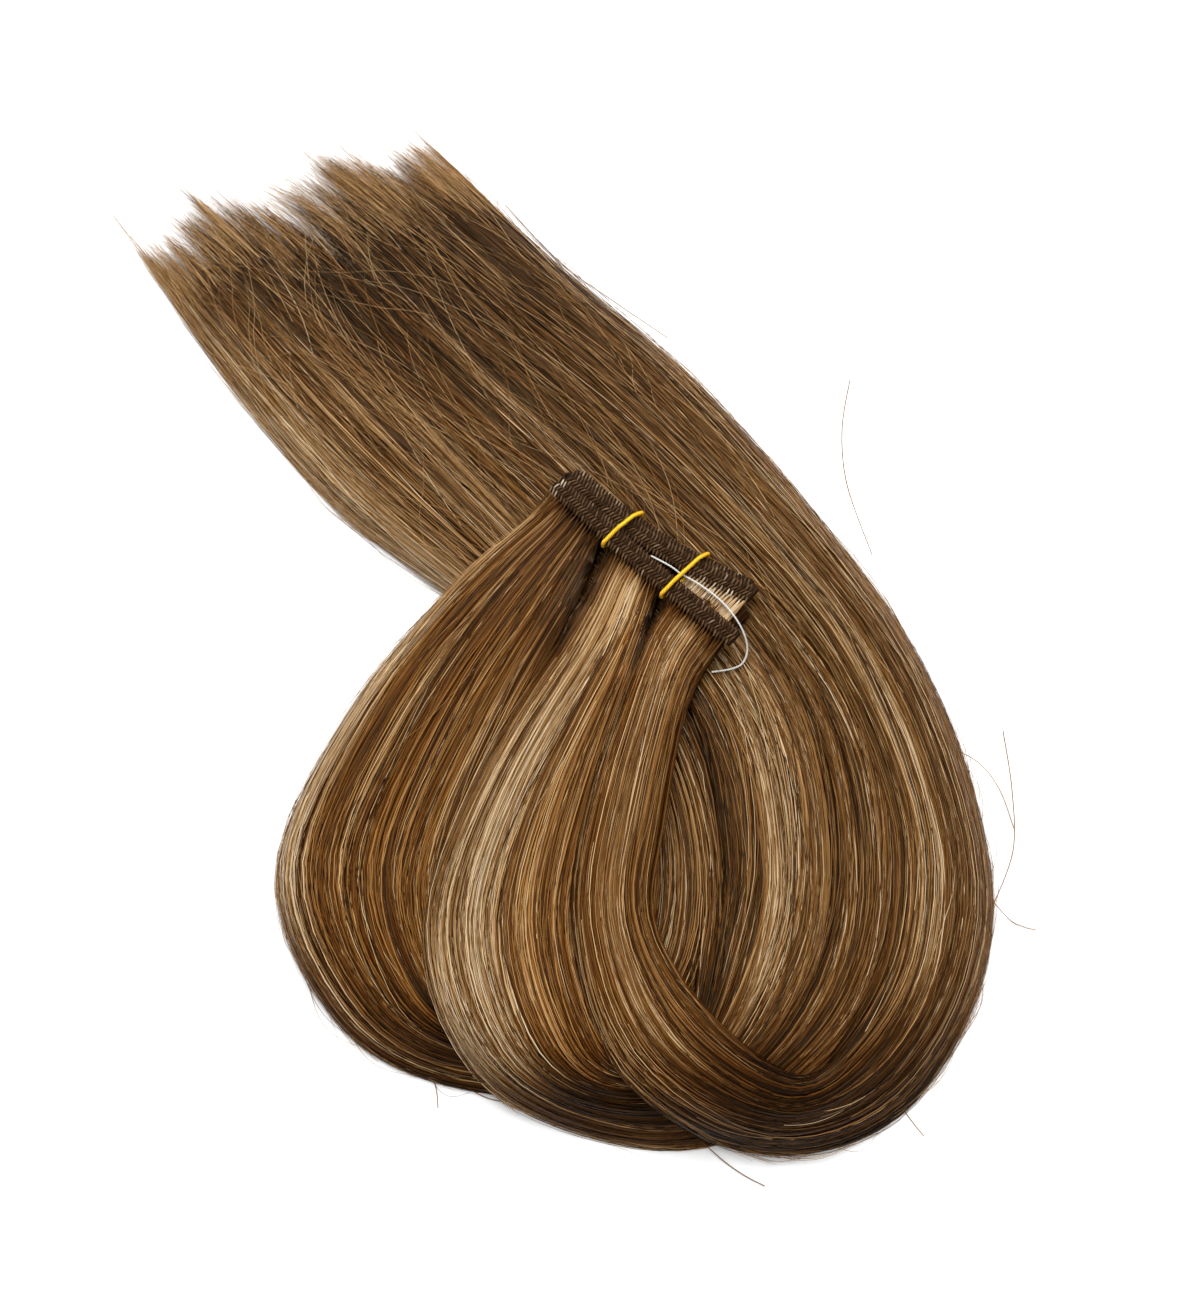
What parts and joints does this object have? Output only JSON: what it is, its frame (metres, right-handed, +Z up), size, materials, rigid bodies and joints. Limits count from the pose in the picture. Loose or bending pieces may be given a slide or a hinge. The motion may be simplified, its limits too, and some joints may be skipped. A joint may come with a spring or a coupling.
{
  "type": "hair weft",
  "caption": "Bundle of long brown hair with blonde streaks, sewn to a folded stitched band held by gold ties, lying in a loop with its tail straight and a loose thread end on the band.",
  "frame": {"origin": "bottom centre of the bundle as it lies on a table", "axes": "+Z up from the table, +Y from the loop towards the tips of the tail, +X to the right as seen in the picture"},
  "size_m": [0.2084, 0.2567, 0.0203],
  "materials": {
    "hair": "brown hair with blonde streaks, soft shine",
    "weft": "dark brown zig-zag stitching over hair roots",
    "tie": "gold twisted metallic cord",
    "thread": "white twisted sewing thread"
  },
  "bodies": {
    "root": {"hair": "hair", "weft_strip": "weft", "tie_left": "tie", "tie_right": "tie", "thread_end": "thread"}
  },
  "joints": []
}
